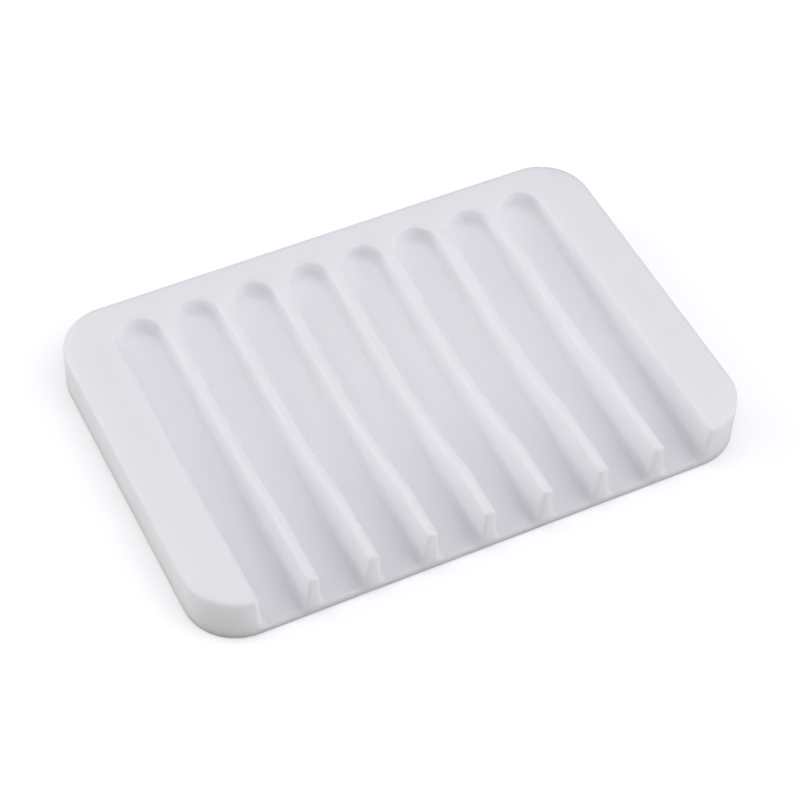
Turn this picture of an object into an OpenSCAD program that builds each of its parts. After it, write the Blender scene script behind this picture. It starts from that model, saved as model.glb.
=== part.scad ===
// Draining soap tray: one soft moulding. A rim runs round three sides, eight channels
// slope down to the open front edge, and a shallow hollow across the ribs holds the soap.
// Frame: the origin is the middle of the underside, +X runs along the tray, -Y points
// to the open front edge and +Z is up.

/* [Tray] */
// Length of the tray, across the channels
tray_w = 115; // [100:1:138]
// Depth of the tray, from the open front edge to the back
tray_d = 78; // [65:1:94]
// Height of the rim and of the rib ends
tray_h = 10.4; // [8.6:0.1:12.5]
// Radius of the four corners in plan
corner_r = 10.4; // [6:0.2:14]
// Rounding of the outer top edge
edge_r = 0.8; // [0.4:0.1:1.2]
// Rounding of the outer bottom edge
base_r = 0.4; // [0.2:0.1:0.8]

/* [Channels and ribs] */
// Number of channels
channel_count = 8; // [5:1:9]
// Thickness of a rib at its foot, before the corners there are rounded
rib_w = 3.2; // [2.6:0.1:4.4]
// Width of the solid rim at each side, measured at the channel floor
side_rim = 11.1; // [9:0.1:14]
// Width of the solid rim at the back, measured at the channel floor
back_rim = 6.1; // [4.5:0.1:9]
// Lean of a channel's sides away from upright, in degrees
side_draft = 4; // [1:0.5:5]
// Radius where a channel's sides meet its floor
floor_r = 1.5; // [0.8:0.1:2.4]

/* [Slope] */
// Depth of the channels below the rim, at the middle of their round back ends
back_depth = 3.6; // [3:0.1:4.4]
// Thickness left under the channels at the open front edge
front_lip = 1.5; // [1.2:0.1:2.4]

/* [Soap hollow] */
// Length of the hollow, along the tray
hollow_w = 92; // [76:1:96]
// Width of the hollow, from front to back
hollow_d = 54; // [44:1:60]
// Depth of the hollow at its middle
hollow_depth = 3; // [2:0.1:3.4]

/* [Hidden] */
$fn = 96;
silicone_colour = [0.90, 0.90, 0.92];
// Distance that a cutting shape runs past the surface that it cuts
past = 2;

// Channels and ribs share the width between the two side rims
channel_w = (tray_w - 2 * side_rim - (channel_count - 1) * rib_w) / channel_count;
channel_pitch = channel_w + rib_w;
// The round back end of each channel is centred here, and its floor starts at this height
channel_end_y = tray_d / 2 - back_rim - channel_w / 2;
channel_end_z = tray_h - back_depth;
// Length of a channel in plan, from that centre to the front edge, and the fall of its floor
channel_run = channel_end_y + tray_d / 2;
floor_slope = atan((channel_end_z - front_lip) / channel_run);
// Distance from a channel's square corner to where the rounding of that corner starts
corner_run = floor_r * tan((90 - side_draft) / 2);
// Height of the shape that cuts a channel
cut_h = tray_h + past;

// Radius of an arc over a chord with a given rise
function arc_radius(chord, rise) = (chord * chord / 4 + rise * rise) / (2 * rise);
hollow_long_r = arc_radius(hollow_w, hollow_depth);
hollow_short_r = arc_radius(hollow_d, hollow_depth);

// Upright section of the slab's outer edge, from its inner end out to `reach`
module edge_section(reach) {
    translate([0, base_r]) square([reach, tray_h - base_r - edge_r]);
    square([reach - base_r, tray_h / 2]);
    translate([0, tray_h / 2]) square([reach - edge_r, tray_h / 2]);
    translate([reach - base_r, base_r]) circle(base_r);
    translate([reach - edge_r, tray_h - edge_r]) circle(edge_r);
}

// Straight bar with rounded edges along both long sides
module edge_bar(len, width) {
    rotate([90, 0, 0])
        linear_extrude(len, center = true)
            for (side = [0, 1]) mirror([side, 0]) edge_section(width / 2);
}

module slab() {
    edge_bar(tray_d - 2 * corner_r, tray_w);
    rotate([0, 0, 90]) edge_bar(tray_w - 2 * corner_r, tray_d);
    for (x = [-1, 1], y = [-1, 1])
        translate([x * (tray_w / 2 - corner_r), y * (tray_d / 2 - corner_r), 0])
            rotate_extrude() edge_section(corner_r);
}

// Right half of a channel's section: flat floor, rounded corner and leaning side
module half_channel_section() {
    polygon([
        [0, 0],
        [channel_w / 2 - corner_run, 0],
        [channel_w / 2 + corner_run * sin(side_draft), corner_run * cos(side_draft)],
        [channel_w / 2 + cut_h * tan(side_draft), cut_h],
        [0, cut_h]
    ]);
    translate([channel_w / 2 - corner_run, floor_r]) circle(floor_r);
}

// Cuts one channel: a straight run down the slope and a round back end
module channel_cut() {
    translate([0, channel_end_y, channel_end_z]) rotate([floor_slope, 0, 0]) {
        rotate_extrude() half_channel_section();
        rotate([90, 0, 0])
            linear_extrude(channel_run / cos(floor_slope) + past)
                for (side = [0, 1]) mirror([side, 0]) half_channel_section();
    }
}

// Cuts the hollow: a thin slice of a ring, curved along the tray and across it
module hollow_cut() {
    half_angle = 1.2 * asin(hollow_w / 2 / hollow_long_r);
    translate([0, 0, tray_h - hollow_depth + hollow_long_r])
        rotate([-90, 0, 0]) rotate([0, 0, 90 - half_angle])
            rotate_extrude(angle = 2 * half_angle, $fn = 720)
                intersection() {
                    translate([hollow_long_r - hollow_short_r, 0]) circle(hollow_short_r, $fn = 720);
                    translate([hollow_long_r - hollow_depth - past, -hollow_d])
                        square([hollow_depth + 2 * past, 2 * hollow_d]);
                }
}

module soap_tray() {
    color(silicone_colour) difference() {
        slab();
        for (i = [0 : channel_count - 1])
            translate([(i - (channel_count - 1) / 2) * channel_pitch, 0, 0]) channel_cut();
        hollow_cut();
    }
}

soap_tray();
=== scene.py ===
"""Draining silicone soap tray: the visible skin of the moulding, its material and a soft studio.

The skin is built from two meshes, half of one rib and one side rim. A geometry node tree
repeats them into the whole tray and presses the soap hollow into the rib crests.
"""

import logging
import math
from dataclasses import dataclass, field
from enum import Enum, IntEnum
from typing import Any, Union

import bmesh
import bpy
import numpy as np
from mathutils import Matrix, Vector

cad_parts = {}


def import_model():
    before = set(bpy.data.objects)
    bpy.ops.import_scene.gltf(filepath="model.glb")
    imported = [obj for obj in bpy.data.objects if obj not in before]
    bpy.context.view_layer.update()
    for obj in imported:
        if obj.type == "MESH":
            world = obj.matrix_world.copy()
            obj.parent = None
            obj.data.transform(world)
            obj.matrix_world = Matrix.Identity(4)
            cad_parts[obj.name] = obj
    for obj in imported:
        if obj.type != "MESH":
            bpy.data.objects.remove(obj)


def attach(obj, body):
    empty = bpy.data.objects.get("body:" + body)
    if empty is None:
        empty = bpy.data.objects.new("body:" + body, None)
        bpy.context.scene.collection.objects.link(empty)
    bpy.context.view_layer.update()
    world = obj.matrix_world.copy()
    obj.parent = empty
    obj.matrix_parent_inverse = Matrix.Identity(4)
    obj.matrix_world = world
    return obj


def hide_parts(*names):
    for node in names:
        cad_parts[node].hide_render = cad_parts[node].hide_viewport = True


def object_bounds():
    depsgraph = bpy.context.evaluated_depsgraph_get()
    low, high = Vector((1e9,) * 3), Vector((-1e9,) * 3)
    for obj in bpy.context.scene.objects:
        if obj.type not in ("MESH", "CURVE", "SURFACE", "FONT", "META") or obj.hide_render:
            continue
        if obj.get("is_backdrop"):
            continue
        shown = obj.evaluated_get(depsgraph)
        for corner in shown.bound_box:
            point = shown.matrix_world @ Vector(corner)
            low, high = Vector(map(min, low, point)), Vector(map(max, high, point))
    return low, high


LOG = logging.getLogger("soap_tray")
MM = 0.001
QUARTER_TURN = math.pi / 2
WHITE = (1.0, 1.0, 1.0, 1.0)
CAD_NODE = "soap_tray"
BODY = "root"
HOLLOW_SHARE = "hollow_share"

Paint = tuple[float, float, float, float]


# ---------------------------------------------------------------- node trees


class Wire:
    """One output socket of a node, used in Python arithmetic to add Math nodes."""

    def __init__(self, graph: "Graph", socket: bpy.types.NodeSocket) -> None:
        """Wraps a socket.

        Args:
            graph: The tree that the socket belongs to.
            socket: The output socket.
        """
        self.graph = graph
        self.socket = socket

    def _math(self, operation: str, *operands: "Operand") -> "Wire":
        """Adds one Math node.

        Args:
            operation: The node's operation.
            operands: Its inputs in order, wires or numbers.

        Returns:
            The node's result.
        """
        sockets = dict(enumerate(operands))
        return self.graph.add("ShaderNodeMath", {"operation": operation}, sockets)

    def __add__(self, other: "Operand") -> "Wire":
        """Sum."""
        return self._math("ADD", self, other)

    def __sub__(self, other: "Operand") -> "Wire":
        """Difference."""
        return self._math("SUBTRACT", self, other)

    def __rsub__(self, other: "Operand") -> "Wire":
        """Difference from a number."""
        return self._math("SUBTRACT", other, self)

    def __mul__(self, other: "Operand") -> "Wire":
        """Product."""
        return self._math("MULTIPLY", self, other)

    def __truediv__(self, other: "Operand") -> "Wire":
        """Quotient."""
        return self._math("DIVIDE", self, other)

    def __pow__(self, other: "Operand") -> "Wire":
        """Power."""
        return self._math("POWER", self, other)


Operand = Union[Wire, float]


class Graph:
    """A node tree that is written one node at a time."""

    def __init__(self, tree: bpy.types.NodeTree) -> None:
        """Takes over an empty tree.

        Args:
            tree: A shader or geometry node tree.
        """
        self.tree = tree

    def add(
        self,
        kind: str,
        settings: dict[str, Any] | None = None,
        sockets: dict[int | str, Any] | None = None,
        output: int | str = 0,
    ) -> Wire:
        """Adds a node, sets it up and wires its inputs.

        Args:
            kind: The node's type name.
            settings: Its properties, which are set first.
            sockets: Values, wires or lists of wires for its inputs, by place or name.
            output: Which output to return, by place or name.

        Returns:
            The chosen output.
        """
        node = self.tree.nodes.new(kind)
        for name, value in (settings or {}).items():
            setattr(node, name, value)
        for key, value in (sockets or {}).items():
            if isinstance(value, Wire):
                self.tree.links.new(value.socket, node.inputs[key])
            elif isinstance(value, list):
                for wire in value:
                    self.tree.links.new(wire.socket, node.inputs[key])
            else:
                node.inputs[key].default_value = value
        return Wire(self, node.outputs[output] if node.outputs else None)


# ---------------------------------------------------------------- sizes


@dataclass(frozen=True)
class TrayPlan:
    """Sizes of the tray, in metres and degrees. +X crosses the channels, -Y is the open front."""

    width: float
    depth: float
    height: float
    corner_radius: float = 10.4 * MM
    edge_radius: float = 0.75 * MM
    base_radius: float = 0.4 * MM
    channel_count: int = 8
    rib_foot: float = 3.2 * MM
    side_rim: float = 11.1 * MM
    back_rim: float = 6.1 * MM
    side_draft: float = 4.0
    floor_radius: float = 1.5 * MM
    crest_radius: float = 0.85 * MM
    end_radius: float = 0.4 * MM
    back_depth: float = 3.6 * MM
    front_lip: float = 1.5 * MM
    hollow_width: float = 92 * MM
    hollow_depth: float = 54 * MM
    hollow_drop: float = 3.0 * MM
    hollow_softness: float = 0.08

    @property
    def channel_floor(self) -> float:
        """Width of a channel's floor before its corners are rounded."""
        ribs = (self.channel_count - 1) * self.rib_foot
        return (self.width - 2 * self.side_rim - ribs) / self.channel_count

    @property
    def pitch(self) -> float:
        """Distance from one channel to the next."""
        return self.channel_floor + self.rib_foot

    @property
    def last_spine(self) -> float:
        """Place along X of the last channel's middle line."""
        return (self.channel_count - 1) / 2 * self.pitch

    @property
    def turn_y(self) -> float:
        """Place along Y of the centre of the channels' round ends."""
        return self.depth / 2 - self.back_rim - self.channel_floor / 2

    @property
    def fall(self) -> float:
        """Fall of the channel floors for each metre towards the front."""
        drop = self.height - self.back_depth - self.front_lip
        return drop / (self.turn_y + self.depth / 2)

    def floor_height(self, y: np.ndarray | float) -> np.ndarray | float:
        """Height of the channel floors.

        Args:
            y: Places along Y.

        Returns:
            The floor's height at each.
        """
        return self.front_lip + (y + self.depth / 2) * self.fall


@dataclass(frozen=True)
class Density:
    """How finely each stretch of the skin is divided.

    Whole numbers count faces. The tuples hold shares of their stretch, and the front gap is a
    share of the edge's radius.
    """

    straight: int = 64
    front_gap: float = 0.25
    turn: int = 18
    edge: int = 6
    floor_radius: int = 6
    crest_radius: int = 6
    floor: tuple[float, ...] = (0.0, 0.35, 0.7, 0.95)
    flank: tuple[float, ...] = (0.08, 0.5, 0.92)
    crest: tuple[float, ...] = (0.06, 0.3, 0.55, 0.8, 0.96, 1.0)

    @property
    def foot_end(self) -> int:
        """Column where the channel's side rises from the rounding of its foot."""
        return len(self.floor) + self.floor_radius

    @property
    def crest_start(self) -> int:
        """Column where the rounding of the crest starts."""
        return self.foot_end + len(self.flank) + 1

    @property
    def crest_end(self) -> int:
        """Column where the flat crest starts."""
        return self.crest_start + self.crest_radius

    @property
    def side_rows(self) -> int:
        """Number of faces along the tray's side, between the middles of two corners."""
        return self.straight + self.turn - (self.foot_end + 1 + len(self.crest))


class Outline:
    """The right half of the tray's outline, from the front middle round to the back middle."""

    def __init__(self, plan: TrayPlan) -> None:
        """Measures the outline's stretches.

        Args:
            plan: The tray's sizes.
        """
        self.radius = plan.corner_radius
        self.core_x = plan.width / 2 - plan.corner_radius
        self.core_y = plan.depth / 2 - plan.corner_radius
        self.corner = self.radius * QUARTER_TURN
        self.length = 2 * (self.core_x + self.corner + self.core_y)

    @property
    def front_corner(self) -> float:
        """Distance along the outline to the middle of the front corner."""
        return self.core_x + self.corner / 2

    @property
    def back_corner(self) -> float:
        """Distance along the outline to the middle of the back corner."""
        return self.length - self.front_corner

    def normal(self, run: np.ndarray) -> np.ndarray:
        """Outward directions in plan.

        Args:
            run: Distances along the outline.

        Returns:
            One unit vector for each distance.
        """
        first = np.clip((run - self.core_x) / self.radius, 0, QUARTER_TURN)
        second_start = self.core_x + self.corner + 2 * self.core_y
        second = np.clip((run - second_start) / self.radius, 0, QUARTER_TURN)
        angle = first + second - QUARTER_TURN
        return np.stack([np.cos(angle), np.sin(angle)], axis=-1)

    def point(self, run: np.ndarray, inset: float | np.ndarray) -> np.ndarray:
        """Points on the outline or on a line inside it.

        Args:
            run: Distances along the outline.
            inset: How far inside the outline the points lie.

        Returns:
            One point in plan for each distance.
        """
        side_start = self.core_x + self.corner
        back_start = side_start + 2 * self.core_y + self.corner
        core_x = np.minimum(run, self.core_x) - np.maximum(run - back_start, 0)
        core_y = np.clip(run - side_start, 0, 2 * self.core_y) - self.core_y
        core = np.stack([core_x, core_y], axis=-1)
        return core + (self.radius - np.asarray(inset))[..., None] * self.normal(run)

    def run_at(self, x: np.ndarray, inset: float) -> np.ndarray:
        """Distances along the outline of front points with given X.

        Args:
            x: Places along X.
            inset: How far inside the outline the points lie.

        Returns:
            The distance of each point.
        """
        past = np.maximum(x - self.core_x, 0) / (self.radius - inset)
        return np.minimum(x, self.core_x) + self.radius * np.arcsin(np.minimum(past, 1))


# ---------------------------------------------------------------- skin


class Skin:
    """Collects grids of points and joins them into one mesh wherever they meet."""

    WELD = 1e-7

    def __init__(self) -> None:
        """Starts with no faces."""
        self.points: list[np.ndarray] = []
        self.shares: list[np.ndarray] = []
        self.faces: list[tuple[int, ...]] = []
        self.count = 0

    def _store(self, points: np.ndarray, share: np.ndarray | float) -> np.ndarray:
        """Keeps points and their share of the hollow.

        Args:
            points: Points of any grid shape.
            share: How far each follows the soap hollow down, 0 to 1.

        Returns:
            The index of each point, in the same shape.
        """
        shape = points.shape[:-1]
        index = self.count + np.arange(int(np.prod(shape))).reshape(shape)
        self.points.append(points.reshape(-1, 3))
        self.shares.append(np.broadcast_to(share, shape).reshape(-1))
        self.count += index.size
        return index

    def grid(self, points: np.ndarray, share: np.ndarray | float = 0.0) -> None:
        """Adds a sheet of four-sided faces.

        Args:
            points: Rows and columns of points.
            share: How far each follows the soap hollow down.
        """
        index = self._store(points, share)
        corners = [index[:-1, :-1], index[:-1, 1:], index[1:, 1:], index[1:, :-1]]
        self.faces.extend(map(tuple, np.stack(corners, axis=-1).reshape(-1, 4).tolist()))

    def polygon(self, points: np.ndarray, share: np.ndarray | float = 0.0) -> None:
        """Adds one flat face.

        Args:
            points: Its corners in order.
            share: How far each follows the soap hollow down.
        """
        self.faces.append(tuple(self._store(points, share).tolist()))

    def mesh(self, name: str) -> bpy.types.Mesh:
        """Joins what meets and makes the mesh.

        Args:
            name: The mesh's name.

        Returns:
            A mesh with the hollow share stored on its points.
        """
        points = np.concatenate(self.points)
        share = np.concatenate(self.shares)
        keys = np.round(points / self.WELD).astype(np.int64)
        _, first, joined = np.unique(keys, axis=0, return_index=True, return_inverse=True)
        joined = joined.reshape(-1)
        faces = []
        for face in self.faces:
            ring = [int(joined[i]) for i in face]
            ring = [v for i, v in enumerate(ring) if v != ring[i - 1]]
            if len(set(ring)) > 2:
                faces.append(ring)
        made = bpy.data.meshes.new(name)
        made.from_pydata(points[first].tolist(), [], faces)
        follows = made.attributes.new(HOLLOW_SHARE, "FLOAT", "POINT")
        follows.data.foreach_set("value", share[first].astype(np.float32))
        return made


class Edge(Enum):
    """Which outer edge of the tray is rounded."""

    TOP = "top"
    BOTTOM = "bottom"


@dataclass
class ChannelSide:
    """From the middle of a channel, up one side of it, to where the next piece starts.

    Rows of points run along the channel and round its end. Columns run from the channel's
    middle up its side and over the crest.
    """

    plan: TrayPlan
    density: Density = field(default_factory=Density)

    def __post_init__(self) -> None:
        """Works out the rows."""
        plan, density = self.plan, self.density
        self.outline = Outline(plan)
        self.lean = math.radians(plan.side_draft)
        # tangent length of a rounding of unit radius, the same at the foot and at the crest
        self.reach = math.tan((QUARTER_TURN - self.lean) / 2)
        front = -plan.depth / 2 + plan.edge_radius
        second = front + plan.edge_radius * density.front_gap
        straight = np.linspace(second, plan.turn_y, density.straight)
        self.row_y = np.concatenate([[front], straight, np.full(density.turn, plan.turn_y)])
        round_end = np.linspace(0, QUARTER_TURN, density.turn + 1)[1:]
        turn = np.concatenate([np.zeros(density.straight + 1), round_end])
        self.row_dir = np.stack([np.cos(turn), np.sin(turn)], axis=-1)
        # the crest's edge is crisper round the channel's end than along the ribs
        self.crest_radii = plan.crest_radius + (plan.end_radius - plan.crest_radius) * np.sin(turn)
        self.corner_row = density.straight + density.turn - self.front_columns

    @property
    def spine_x(self) -> float:
        """Place along X of the channel's middle line."""
        raise NotImplementedError

    @property
    def front_columns(self) -> int:
        """Number of faces along the bottom front edge."""
        raise NotImplementedError

    def edge_run(self) -> np.ndarray:
        """Distances along the outline of the rows that end on it."""
        raise NotImplementedError

    def far_points(self) -> np.ndarray:
        """Where this piece's top surface ends, one point in plan for each row."""
        raise NotImplementedError

    def crest_run(self, start: float) -> np.ndarray:
        """Distances along the outline of the front row's crest columns, from a start."""
        raise NotImplementedError

    def side_run(self, crest_run: np.ndarray) -> np.ndarray:
        """Distances along the outline of the upright front wall's columns."""
        raise NotImplementedError

    def far_side(self) -> np.ndarray:
        """Outer edge of the underside, from front to back."""
        raise NotImplementedError

    def section(self, rise: np.ndarray, radius: np.ndarray) -> tuple[np.ndarray, np.ndarray]:
        """The channel's side at each row, up to the flat crest.

        Args:
            rise: Height of the rim above the floor at each row.
            radius: Rounding of the crest's edge at each row.

        Returns:
            Distances from the channel's middle, and outward directions as (away, up).
        """
        plan, density, lean = self.plan, self.density, self.lean
        half = plan.channel_floor / 2
        flat = half - plan.floor_radius * self.reach
        foot = np.linspace(0, QUARTER_TURN - lean, density.floor_radius + 1)
        crest = np.linspace(lean, QUARTER_TURN, density.crest_radius + 1)
        centre = half + rise * math.tan(lean) + radius * self.reach
        level = np.concatenate([flat * np.array(density.floor), flat + plan.floor_radius * np.sin(foot)])
        level = np.broadcast_to(level, (len(rise), level.size))
        top = centre[:, None] - radius[:, None] * np.cos(crest)
        flank = level[:, -1:] + (top[:, :1] - level[:, -1:]) * np.array(density.flank)
        away = np.zeros(len(density.floor))
        steady = np.full(len(density.flank), -math.cos(lean))
        away = np.concatenate([away, -np.sin(foot), steady, -np.cos(crest)])
        up = np.sqrt(np.maximum(1 - away * away, 0))
        return np.concatenate([level, flank, top], axis=1), np.stack([away, up], axis=-1)

    def top(self) -> tuple[np.ndarray, np.ndarray, np.ndarray]:
        """Channel, its side and the crest. The front row is one edge radius behind the front.

        Returns:
            Points by row and column, their share of the hollow, and the front row's distances
            along the outline.
        """
        plan, density = self.plan, self.density
        foot_y = self.row_y + plan.channel_floor / 2 * self.row_dir[:, 1]
        reach, _ = self.section(plan.height - plan.floor_height(foot_y), self.crest_radii)
        x = self.spine_x + reach * self.row_dir[:, :1]
        y = self.row_y[:, None] + reach * self.row_dir[:, 1:]
        run = self.outline.run_at(x[0], plan.edge_radius)
        y[0] = self.outline.point(run, plan.edge_radius)[:, 1]

        foot = np.linspace(0, QUARTER_TURN - self.lean, density.floor_radius + 1)
        lift = np.concatenate([np.zeros(len(density.floor)), plan.floor_radius * (1 - np.cos(foot))])
        low = plan.floor_height(y[:, : density.foot_end + 1]) + lift
        crest = np.linspace(self.lean, QUARTER_TURN, density.crest_radius + 1)
        high = plan.height - self.crest_radii[:, None] * (1 - np.sin(crest))
        share = np.array(density.flank)
        flank = low[:, -1:] + (high[:, :1] - low[:, -1:]) * share
        side = np.stack([x, y, np.concatenate([low, flank, high], axis=1)], axis=-1)

        start = side[:, -1:, :2]
        flat = start + (self.far_points()[:, None] - start) * np.array(density.crest)[:, None]
        crest_run = self.crest_run(float(run[-1]))
        bulge = self.outline.point(crest_run, plan.edge_radius) - flat[0]
        fade = np.clip(1 - np.arange(len(flat)) / self.corner_row, 0, 1)
        flat = flat + fade[:, None, None] * bulge
        flat = np.concatenate([flat, np.full(flat.shape[:2] + (1,), plan.height)], axis=-1)
        follows = [np.zeros(density.foot_end + 1), share, np.ones(high.shape[1] + flat.shape[1])]
        points = np.concatenate([side, flat], axis=1)
        follows = np.broadcast_to(np.concatenate(follows), points.shape[:2])
        return points, follows, np.concatenate([run, crest_run])

    def front_ring(self, row: np.ndarray, follows: np.ndarray, run: np.ndarray) -> np.ndarray:
        """Rounds the front row over, from the top surface down to the front face.

        Args:
            row: The front row's points.
            follows: Their share of the hollow.
            run: Their distances along the outline.

        Returns:
            Rows of points from the front row to the front face.
        """
        plan = self.plan
        turn = np.linspace(0, QUARTER_TURN, self.density.edge + 1)[:, None]
        ahead = plan.edge_radius * np.sin(turn)
        inward = plan.edge_radius * (1 - np.cos(turn))
        _, normal = self.section(np.zeros(1), np.zeros(1))
        flat = np.repeat([[0.0, 1.0]], len(self.density.crest), axis=0)
        normal = np.concatenate([normal, flat])
        outward = self.outline.normal(run)
        x = row[:, 0] + ahead * outward[:, 0] - inward * normal[:, 0]
        y = row[:, 1] + ahead * outward[:, 1]
        z = row[:, 2] - inward * normal[:, 1] - ahead * plan.fall * (1 - follows)
        return np.stack([x, y, z], axis=-1)

    def edge_ring(self, run: np.ndarray, edge: Edge) -> np.ndarray:
        """Rounds an outer edge.

        Args:
            run: Distances along the outline.
            edge: Which edge.

        Returns:
            Rows of points from the flat face to the upright wall.
        """
        radius = self.plan.edge_radius if edge is Edge.TOP else self.plan.base_radius
        turn = np.linspace(0, QUARTER_TURN, self.density.edge + 1)
        rows = [self.outline.point(run, np.full(run.shape, i)) for i in radius * (1 - np.sin(turn))]
        height = radius * (1 - np.cos(turn))
        if edge is Edge.TOP:
            height = self.plan.height - height
        return np.stack([np.column_stack([p, np.full(len(p), z)]) for p, z in zip(rows, height)])

    def wall(self, run: np.ndarray, levels: np.ndarray) -> np.ndarray:
        """Upright outer wall.

        Args:
            run: Distances along the outline.
            levels: Heights of its rows.

        Returns:
            Rows of points from high to low.
        """
        line = self.outline.point(run, np.zeros(run.shape))
        return np.stack([np.column_stack([line, np.full(len(line), z)]) for z in levels])

    def front(self, skin: Skin, front: np.ndarray, side_run: np.ndarray) -> np.ndarray:
        """Closes the upright front face, from the channel's middle outwards.

        Args:
            skin: Where the faces go.
            front: The points where the top surface meets the front face.
            side_run: Distances along the outline of the wall beyond the channel's foot.

        Returns:
            Heights of the wall's rows, from high to low.
        """
        plan, density = self.plan, self.density
        foot = front[: density.foot_end + 1]
        foot_run = self.outline.run_at(foot[:, 0], 0.0)
        low = self.wall(foot_run, np.array([plan.base_radius]))[0]
        skin.grid(np.stack([foot, low]))
        flank = front[density.foot_end : density.crest_start + 1][::-1]
        levels = np.concatenate([[plan.height - plan.edge_radius], flank[:, 2], [plan.base_radius]])
        wall = self.wall(side_run, levels)
        skin.grid(wall)
        inner = np.concatenate([flank, low[-1:]])
        skin.grid(np.stack([inner, wall[1:, 0]], axis=1))
        last = len(front) if len(side_run) == 1 else density.crest_end + 1
        skin.polygon(np.concatenate([front[density.crest_start : last], wall[1:2, 0]]))
        self.bottom(skin, np.concatenate([foot_run, side_run]))
        return levels

    def bottom(self, skin: Skin, front_run: np.ndarray) -> None:
        """Closes the bottom front edge and the flat underside.

        Args:
            skin: Where the faces go.
            front_run: Distances along the outline of the bottom front edge.
        """
        ring = self.edge_ring(front_run, Edge.BOTTOM)
        skin.grid(ring)
        edge_run = self.edge_run()
        skin.grid(self.edge_ring(edge_run, Edge.BOTTOM))
        back = self.low_line(edge_run[-self.front_columns - 1 :][::-1])
        near, far = ring[0], self.far_side()
        v = np.linspace(0, 1, len(far))[:, None, None]
        u = np.linspace(0, 1, len(near))[None, :, None]
        middle = near[0] + (back[0] - near[0]) * v[:, 0]
        between = (1 - v) * near + v * back
        sides = (1 - u) * middle[:, None] + u * far[:, None]
        corners = (1 - v) * ((1 - u) * near[0] + u * near[-1]) + v * ((1 - u) * back[0] + u * back[-1])
        skin.grid(between + sides - corners)

    def low_line(self, run: np.ndarray) -> np.ndarray:
        """Line where the bottom edge meets the underside, at distances along the outline."""
        return self.edge_ring(run, Edge.BOTTOM)[0]

    def mesh(self, name: str) -> bpy.types.Mesh:
        """Builds the whole piece.

        Args:
            name: The mesh's name.

        Returns:
            The mesh, open only where the next piece joins on.
        """
        skin = Skin()
        points, follows, run = self.top()
        skin.grid(points, follows)
        ring = self.front_ring(points[0], follows[0], run)
        skin.grid(ring, np.broadcast_to(follows[0], ring.shape[:2]))
        crest_run = run[self.density.crest_end :]
        levels = self.front(skin, ring[-1], self.side_run(crest_run))
        edge_run = self.edge_run()
        skin.grid(self.edge_ring(edge_run, Edge.TOP), 1.0)
        skin.grid(self.wall(edge_run, levels))
        return skin.mesh(name)


@dataclass
class HalfRib(ChannelSide):
    """Left half of a rib, with the half channel beside it. The rib's middle is at x = 0."""

    @property
    def spine_x(self) -> float:
        """Place along X of the channel's middle line."""
        return -self.plan.pitch / 2

    @property
    def front_columns(self) -> int:
        """Number of faces along the bottom front edge."""
        return self.density.foot_end + 1

    def edge_run(self) -> np.ndarray:
        """Distances along the outline of the rows that end on it."""
        return self.outline.length + np.linspace(0, self.plan.pitch / 2, self.front_columns + 1)

    def far_points(self) -> np.ndarray:
        """Where this piece's top surface ends, one point in plan for each row."""
        plan = self.plan
        edge = self.outline.point(self.edge_run(), plan.edge_radius)
        past = np.linspace(plan.turn_y, edge[0, 1], self.corner_row - self.density.straight + 1)[1:-1]
        middle = np.concatenate([self.row_y[: self.density.straight + 1], past])
        return np.concatenate([np.column_stack([np.zeros(len(middle)), middle]), edge])

    def crest_run(self, start: float) -> np.ndarray:
        """Distances along the outline of the front row's crest columns, from a start."""
        return start * (1 - np.array(self.density.crest))

    def side_run(self, crest_run: np.ndarray) -> np.ndarray:
        """Distances along the outline of the upright front wall's columns."""
        return np.zeros(1)

    def far_side(self) -> np.ndarray:
        """Outer edge of the underside, from front to back."""
        front, back = self.low_line(np.array([0.0, self.outline.length]))
        return front + (back - front) * np.linspace(0, 1, self.density.side_rows + 1)[:, None]


@dataclass
class SideRim(ChannelSide):
    """The solid rim at the right, with the outer half of the last channel."""

    @property
    def spine_x(self) -> float:
        """Place along X of the channel's middle line."""
        return self.plan.last_spine

    @property
    def front_columns(self) -> int:
        """Number of faces along the bottom front edge."""
        return self.density.foot_end + 1 + len(self.density.crest)

    def edge_run(self) -> np.ndarray:
        """Distances along the outline of the rows that end on it."""
        outline = self.outline
        side = np.linspace(outline.front_corner, outline.back_corner, self.corner_row + 1)
        last = outline.length - self.plan.last_spine
        return np.concatenate([side, np.linspace(side[-1], last, self.front_columns + 1)[1:]])

    def far_points(self) -> np.ndarray:
        """Where this piece's top surface ends, one point in plan for each row."""
        return self.outline.point(self.edge_run(), self.plan.edge_radius)

    def crest_run(self, start: float) -> np.ndarray:
        """Distances along the outline of the front row's crest columns, from a start."""
        return start + (self.outline.front_corner - start) * np.array(self.density.crest)

    def side_run(self, crest_run: np.ndarray) -> np.ndarray:
        """Distances along the outline of the upright front wall's columns."""
        return crest_run

    def far_side(self) -> np.ndarray:
        """Outer edge of the underside, from front to back."""
        return self.low_line(self.edge_run()[: self.corner_row + 1])


# ---------------------------------------------------------------- finishes


class ColourMix(IntEnum):
    """Places of the sockets that the Mix node uses for colours."""

    FACTOR = 0
    FIRST = 6
    SECOND = 7
    RESULT = 2


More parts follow.
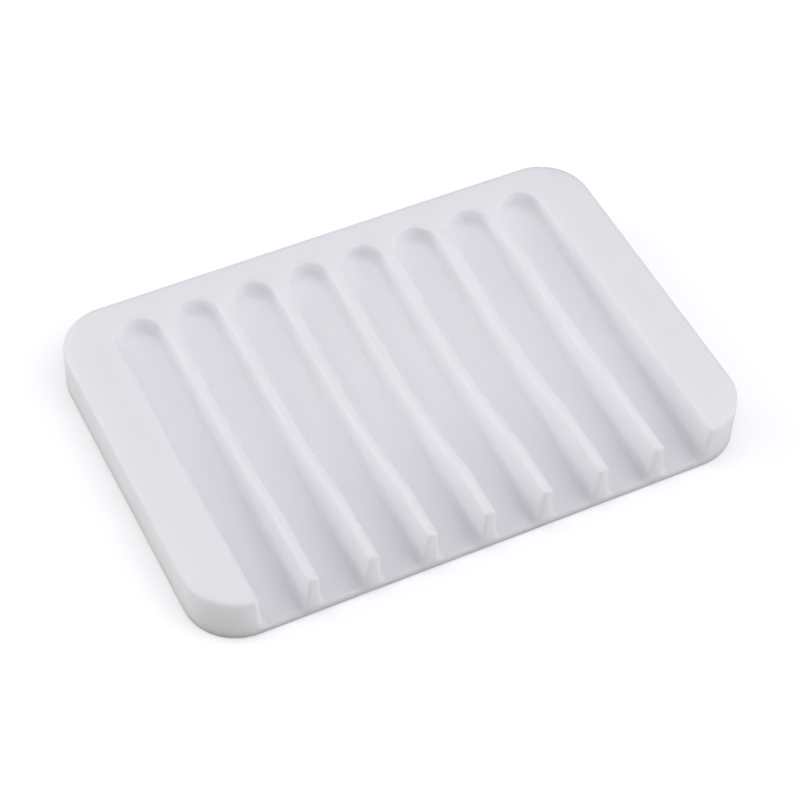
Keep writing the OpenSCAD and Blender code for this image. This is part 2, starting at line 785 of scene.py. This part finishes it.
@dataclass(frozen=True)
class SiliconeFinish:
    """Matt moulded silicone: a cool near-white, faintly cloudy, with a fine grain."""

    bright: Paint = (0.942, 0.935, 0.961, 1.0)
    dull: Paint = (0.931, 0.924, 0.950, 1.0)
    cloud_scale: float = 45.0
    cloud_detail: float = 4.0
    grain_scale: float = 3600.0
    grain_detail: float = 2.0
    grain_depth: float = 0.015 * MM
    wave_scale: float = 70.0
    wave_detail: float = 1.0
    wave_depth: float = 0.12 * MM
    roughness: float = 0.5
    cloud_swing: float = 0.12
    grain_swing: float = 0.1
    ior: float = 1.41
    sheen: float = 0.2
    scatter: tuple[float, float, float] = (1.0, 0.98, 0.95)
    scatter_depth: float = 4.0 * MM

    def material(self, name: str) -> bpy.types.Material:
        """Builds the material.

        Args:
            name: The material's name.

        Returns:
            A node material on Object coordinates.
        """
        made = bpy.data.materials.new(name)
        made.use_nodes = True
        made.node_tree.nodes.clear()
        graph = Graph(made.node_tree)
        place = graph.add("ShaderNodeTexCoord", output="Object")
        cloud = self._noise(graph, place, self.cloud_scale, self.cloud_detail)
        grain = self._noise(graph, place, self.grain_scale, self.grain_detail)
        wave = self._noise(graph, place, self.wave_scale, self.wave_detail)
        tint = graph.add(
            "ShaderNodeMix",
            {"data_type": "RGBA"},
            {ColourMix.FACTOR: cloud, ColourMix.FIRST: self.dull, ColourMix.SECOND: self.bright},
            output=ColourMix.RESULT,
        )
        swing = (cloud - 0.5) * self.cloud_swing + (grain - 0.5) * self.grain_swing
        height = grain * self.grain_depth + wave * self.wave_depth
        relief = graph.add("ShaderNodeBump", None, {"Distance": 1.0, "Height": height}, "Normal")
        skin = graph.add(
            "ShaderNodeBsdfPrincipled",
            {"subsurface_method": "RANDOM_WALK"},
            {
                "Base Color": tint,
                "Roughness": swing + self.roughness,
                "Normal": relief,
                "IOR": self.ior,
                "Specular IOR Level": self.sheen,
                "Subsurface Weight": 1.0,
                "Subsurface Radius": self.scatter,
                "Subsurface Scale": self.scatter_depth,
            },
        )
        graph.add("ShaderNodeOutputMaterial", None, {"Surface": skin})
        return made

    def _noise(self, graph: Graph, place: Wire, scale: float, detail: float) -> Wire:
        """Adds one noise texture.

        Args:
            graph: The material's tree.
            place: Coordinates.
            scale: Waves for each metre.
            detail: Number of finer layers.

        Returns:
            The noise, from 0 to 1.
        """
        sockets = {"Vector": place, "Scale": scale, "Detail": detail}
        return graph.add("ShaderNodeTexNoise", {"noise_dimensions": "3D"}, sockets)


@dataclass(frozen=True)
class BackdropFinish:
    """Plain white paper. It throws less light back on the tray than it shows.

    A faint glow, seen only by the camera, brings the paper up to white. It grows with distance, where the
    lamps no longer reach. An ambient occlusion term darkens the glow near the tray: a painted contact
    shadow.
    """

    paper: Paint = (0.93, 0.93, 0.915, 1.0)
    bounce: Paint = (0.75, 0.75, 0.71, 1.0)
    roughness: float = 0.9
    glow: float = 0.33
    # reach of the painted contact shadow in the paper's glow
    painted_shadow_reach: float = 30 * MM
    lamp_reach: float = 1.2

    def material(self, name: str) -> bpy.types.Material:
        """Builds the material.

        Args:
            name: The material's name.

        Returns:
            A matt node material.
        """
        made = bpy.data.materials.new(name)
        made.use_nodes = True
        made.node_tree.nodes.clear()
        graph = Graph(made.node_tree)
        place = graph.add("ShaderNodeTexCoord", output="Object")
        span = graph.add("ShaderNodeVectorMath", {"operation": "DOT_PRODUCT"}, {0: place, 1: place}, 1)
        far = span / (span + self.lamp_reach**2)
        # painted contact shadow: ambient occlusion darkens the paper's emitted glow near the tray
        painted_shadow_ao = graph.add("ShaderNodeAmbientOcclusion", None, {"Distance": self.painted_shadow_reach}, "AO")
        seen = {
            "Base Color": self.paper,
            "Roughness": self.roughness,
            "Specular IOR Level": 0.0,
            "Emission Color": painted_shadow_ao * self.glow + far * (1.0 - self.glow),
            "Emission Strength": 1.0,
        }
        bright = graph.add("ShaderNodeBsdfPrincipled", None, seen)
        dull = graph.add("ShaderNodeBsdfDiffuse", None, {"Color": self.bounce})
        direct = graph.add("ShaderNodeLightPath", None, None, "Is Camera Ray")
        paper = graph.add("ShaderNodeMixShader", None, {0: direct, 1: dull, 2: bright})
        graph.add("ShaderNodeOutputMaterial", None, {"Surface": paper})
        return made


# ---------------------------------------------------------------- the tray


class TrayInput(Enum):
    """Named inputs of the tray's geometry node tree, with their socket types."""

    SIDE_RIM = ("Side rim", "NodeSocketGeometry")
    HALF_RIB = ("Half rib", "NodeSocketObject")
    RIB_COUNT = ("Rib count", "NodeSocketInt")
    FIRST_RIB = ("First rib", "NodeSocketVector")
    RIB_STEP = ("Rib step", "NodeSocketVector")
    HOLLOW_WIDTH = ("Hollow width", "NodeSocketFloat")
    HOLLOW_DEPTH = ("Hollow depth", "NodeSocketFloat")
    HOLLOW_DROP = ("Hollow drop", "NodeSocketFloat")
    SOFTNESS = ("Hollow softness", "NodeSocketFloat")
    FINISH = ("Finish", "NodeSocketMaterial")


@dataclass
class TrayTree:
    """Geometry node tree that repeats the ribs, mirrors the rim and presses the hollow."""

    name: str
    weld: float = 0.001 * MM

    def __post_init__(self) -> None:
        """Builds the tree."""
        self.tree = bpy.data.node_groups.new(self.name, "GeometryNodeTree")
        self.graph = Graph(self.tree)
        self.identifiers: dict[TrayInput, str] = {}
        for entry in TrayInput:
            label, kind = entry.value
            socket = self.tree.interface.new_socket(label, in_out="INPUT", socket_type=kind)
            self.identifiers[entry] = socket.identifier
        self.tree.interface.new_socket("Tray", in_out="OUTPUT", socket_type="NodeSocketGeometry")
        self._build()

    def _given(self, entry: TrayInput) -> Wire:
        """One of the tree's inputs."""
        return self.graph.add("NodeGroupInput", output=entry.value[0])

    def _both_hands(self, piece: Wire) -> Wire:
        """Joins a piece with its mirror image.

        Args:
            piece: Right or left-handed geometry.

        Returns:
            Both.
        """
        other = self.graph.add(
            "GeometryNodeTransform", None, {"Geometry": piece, "Scale": (-1.0, 1.0, 1.0)}
        )
        return self.graph.add("GeometryNodeJoinGeometry", None, {0: [piece, other]})

    def _pressed(self) -> Wire:
        """Works out how far each point of the crests moves down into the hollow."""
        add, given = self.graph.add, self._given
        place = add("GeometryNodeInputPosition")
        across = add("ShaderNodeSeparateXYZ", None, {0: place}, "X") * 2.0
        along = add("ShaderNodeSeparateXYZ", None, {0: place}, "Y") * 2.0
        share = add("GeometryNodeInputNamedAttribute", {"data_type": "FLOAT"}, {"Name": HOLLOW_SHARE})
        across = across / given(TrayInput.HOLLOW_WIDTH)
        along = along / given(TrayInput.HOLLOW_DEPTH)
        softness = given(TrayInput.SOFTNESS)
        bowl = 1.0 - across * across - along * along
        bowl = (bowl + (bowl * bowl + softness * softness) ** 0.5) * 0.5
        return bowl * share * given(TrayInput.HOLLOW_DROP)

    def _build(self) -> None:
        """Writes the tree."""
        add, given = self.graph.add, self._given
        rims = self._both_hands(given(TrayInput.SIDE_RIM))
        half = add("GeometryNodeObjectInfo", None, {"Object": given(TrayInput.HALF_RIB)}, "Geometry")
        steps = {
            "Count": given(TrayInput.RIB_COUNT),
            "Start Location": given(TrayInput.FIRST_RIB),
            "Offset": given(TrayInput.RIB_STEP),
        }
        line = add("GeometryNodeMeshLine", {"mode": "OFFSET", "count_mode": "TOTAL"}, steps)
        rib = self._both_hands(half)
        ribs = add("GeometryNodeInstanceOnPoints", None, {"Points": line, "Instance": rib})
        whole = add("GeometryNodeJoinGeometry", None, {0: [rims, ribs]})
        whole = add("GeometryNodeRealizeInstances", None, {"Geometry": whole})
        whole = add("GeometryNodeMergeByDistance", None, {"Geometry": whole, "Distance": self.weld})
        down = add("ShaderNodeCombineXYZ", None, {"Z": 0.0 - self._pressed()})
        whole = add("GeometryNodeSetPosition", None, {"Geometry": whole, "Offset": down})
        whole = add("GeometryNodeSetShadeSmooth", None, {"Geometry": whole})
        finish = {"Geometry": whole, "Material": given(TrayInput.FINISH)}
        whole = add("GeometryNodeSetMaterial", None, finish)
        add("NodeGroupOutput", None, {0: whole})

    def apply(self, target: bpy.types.Object, values: dict[TrayInput, Any]) -> bpy.types.Mesh:
        """Runs the tree on an object.

        Args:
            target: The object whose mesh is the side rim.
            values: A value for each other input.

        Returns:
            The result as a plain mesh.
        """
        modifier = target.modifiers.new(self.name, "NODES")
        modifier.node_group = self.tree
        for entry, value in values.items():
            modifier[self.identifiers[entry]] = value
        graph = bpy.context.evaluated_depsgraph_get()
        made = bpy.data.meshes.new_from_object(target.evaluated_get(graph), depsgraph=graph)
        target.modifiers.remove(modifier)
        return made


@dataclass
class SoapTray:
    """The whole moulding."""

    plan: TrayPlan
    finish: SiliconeFinish = field(default_factory=SiliconeFinish)
    name: str = "silicone_tray"

    def build(self) -> bpy.types.Object:
        """Builds the tray, dresses it and ties it to the CAD body.

        Returns:
            The finished piece.
        """
        plan = self.plan
        rim = SideRim(plan).mesh("side_rim")
        half_rib = bpy.data.objects.new("half_rib", HalfRib(plan).mesh("half_rib"))
        piece = bpy.data.objects.new(self.name, rim)
        for made in (half_rib, piece):
            bpy.context.scene.collection.objects.link(made)
        values = {
            TrayInput.HALF_RIB: half_rib,
            TrayInput.RIB_COUNT: plan.channel_count - 1,
            TrayInput.FIRST_RIB: (plan.pitch / 2 - plan.last_spine, 0.0, 0.0),
            TrayInput.RIB_STEP: (plan.pitch, 0.0, 0.0),
            TrayInput.HOLLOW_WIDTH: plan.hollow_width,
            TrayInput.HOLLOW_DEPTH: plan.hollow_depth,
            TrayInput.HOLLOW_DROP: plan.hollow_drop,
            TrayInput.SOFTNESS: plan.hollow_softness,
            TrayInput.FINISH: self.finish.material("silicone"),
        }
        piece.data = TrayTree("tray_layout").apply(piece, values)
        piece.data.name = self.name
        bpy.data.objects.remove(half_rib)
        bpy.data.meshes.remove(rim)
        self._settle(piece.data)
        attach(piece, BODY)
        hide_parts(CAD_NODE)
        return piece

    def _settle(self, mesh: bpy.types.Mesh) -> None:
        """Points every face outwards and drops the helper attribute."""
        editable = bmesh.new()
        editable.from_mesh(mesh)
        bmesh.ops.recalc_face_normals(editable, faces=editable.faces)
        open_edges = sum(not edge.is_manifold for edge in editable.edges)
        LOG.info("%s: %d faces, %d open edges", self.name, len(editable.faces), open_edges)
        editable.to_mesh(mesh)
        editable.free()
        mesh.attributes.remove(mesh.attributes[HOLLOW_SHARE])


# ---------------------------------------------------------------- studio


class LightTint(Enum):
    """Colour of a light. The higher lights are a little cooler than the low ones."""

    WHITE = (1.0, 1.0, 1.0)
    FAINTLY_COOL = (0.99, 0.985, 1.01)
    COOL = (0.98, 0.97, 1.03)
    OVERHEAD = (0.975, 0.962, 1.045)


@dataclass(frozen=True)
class SoftLight:
    """One round soft light that faces the tray. Azimuth 0 is behind it and 90 is at its right."""

    name: str
    azimuth: float
    elevation: float
    power: float
    tint: LightTint = LightTint.WHITE
    distance: float = 1.5
    size: float = 1.5

    def build(self) -> bpy.types.Object:
        """Hangs the light.

        Returns:
            The light.
        """
        data = bpy.data.lights.new(self.name, "AREA")
        data.shape = "DISK"
        data.size = self.size
        data.energy = self.power
        data.color = self.tint.value
        light = bpy.data.objects.new(self.name, data)
        light.visible_camera = False
        side, rise = math.radians(self.azimuth), math.radians(self.elevation)
        level = math.cos(rise)
        toward = Vector((math.sin(side) * level, math.cos(side) * level, math.sin(rise)))
        turn = toward.to_track_quat("Z", "Y").to_matrix().to_4x4()
        light.matrix_world = Matrix.Translation(toward * self.distance) @ turn
        bpy.context.scene.collection.objects.link(light)
        return light


@dataclass(frozen=True)
class Studio:
    """White paper in a tent of soft lights, darkest towards its open front left side."""

    paper_size: float = 6.0
    paper_drop: float = 0.02 * MM
    backdrop: float = 1.0
    surround: float = 0.02
    lights: tuple[SoftLight, ...] = (
        SoftLight("overhead_light", 0.0, 88.0, 7.5, LightTint.OVERHEAD),
        SoftLight("left_back_low_light", 305.0, 14.0, 12.2, LightTint.FAINTLY_COOL),
        SoftLight("left_back_high_light", 300.0, 45.0, 3.7, LightTint.COOL),
        SoftLight("right_front_low_light", 132.0, 14.0, 6.0, LightTint.FAINTLY_COOL),
        SoftLight("right_high_light", 112.0, 45.0, 6.0, LightTint.COOL),
        SoftLight("front_high_light", 174.0, 45.0, 4.5, LightTint.COOL),
        SoftLight("left_front_low_light", 250.0, 14.0, 0.4),
    )
    finish: BackdropFinish = field(default_factory=BackdropFinish)

    def build(self) -> bpy.types.Object:
        """Lays the paper and sets up the lights.

        Returns:
            The paper.
        """
        half = self.paper_size / 2
        corners = [(-half, -half), (half, -half), (half, half), (-half, half)]
        mesh = bpy.data.meshes.new("paper")
        mesh.from_pydata([(x, y, -self.paper_drop) for x, y in corners], [], [(0, 1, 2, 3)])
        mesh.materials.append(self.finish.material("paper"))
        paper = bpy.data.objects.new("paper", mesh)
        bpy.context.scene.collection.objects.link(paper)
        paper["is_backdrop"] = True
        for light in self.lights:
            light.build()
        self._room()
        return paper

    def _room(self) -> None:
        """Gives the room a white backdrop and a trace of even light."""
        world = bpy.data.worlds.new("surround")
        world.use_nodes = True
        world.node_tree.nodes.clear()
        graph = Graph(world.node_tree)
        direct = graph.add("ShaderNodeLightPath", None, None, "Is Camera Ray")
        lit = graph.add("ShaderNodeBackground", None, {"Color": WHITE, "Strength": self.surround})
        seen = graph.add("ShaderNodeBackground", None, {"Color": WHITE, "Strength": self.backdrop})
        room = graph.add("ShaderNodeMixShader", None, {0: direct, 1: lit, 2: seen})
        graph.add("ShaderNodeOutputWorld", None, {"Surface": room})
        bpy.context.scene.world = world
        bpy.context.scene.view_settings.view_transform = "Standard"


@dataclass(frozen=True)
class ViewPoint:
    """Camera: where it stands round the tray, in degrees and metres, and its lens."""

    azimuth: float = -28.022
    elevation: float = 49.310
    roll: float = 2.468
    distance: float = 0.4816
    lens: float = 111.155
    sensor: float = 36.0
    shift_x: float = 0.0021
    shift_y: float = -0.0182
    nearest: float = 0.01
    farthest: float = 50.0

    def build(self, target: Vector) -> bpy.types.Object:
        """Makes the camera and points it at the tray.

        Args:
            target: The point that it turns about.

        Returns:
            The camera, which is made the scene's own.
        """
        side, rise = math.radians(self.azimuth), math.radians(self.elevation)
        back = Vector((math.sin(side) * math.cos(rise), -math.cos(side) * math.cos(rise), math.sin(rise)))
        right = Vector((0, 0, 1)).cross(back).normalized()
        turn = Matrix.Rotation(math.radians(self.roll), 3, back)
        right = turn @ right
        up = back.cross(right)
        data = bpy.data.cameras.new("camera")
        data.lens = self.lens
        data.sensor_width = self.sensor
        data.shift_x = self.shift_x
        data.shift_y = self.shift_y
        data.clip_start = self.nearest
        data.clip_end = self.farthest
        camera = bpy.data.objects.new("camera", data)
        frame_axes = Matrix((right, up, back)).transposed().to_4x4()
        camera.matrix_world = Matrix.Translation(target + back * self.distance) @ frame_axes
        bpy.context.scene.collection.objects.link(camera)
        bpy.context.scene.camera = camera
        return camera


# ---------------------------------------------------------------- build


def main() -> None:
    """Builds the tray and the studio, and reports each piece."""
    logging.basicConfig(level=logging.INFO, format="%(name)s: %(message)s")
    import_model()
    cad_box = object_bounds()
    low, high = cad_box
    size = high - low
    plan = TrayPlan(width=size.x, depth=size.y, height=size.z)
    piece = SoapTray(plan).build()
    Studio().build()
    ViewPoint().build((low + high) / 2)
    made_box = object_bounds()
    extent = (made_box[1] - made_box[0]) / MM
    LOG.info("%s: %.2f x %.2f x %.2f mm", piece.name, *extent)


if __name__ == "__main__":
    main()
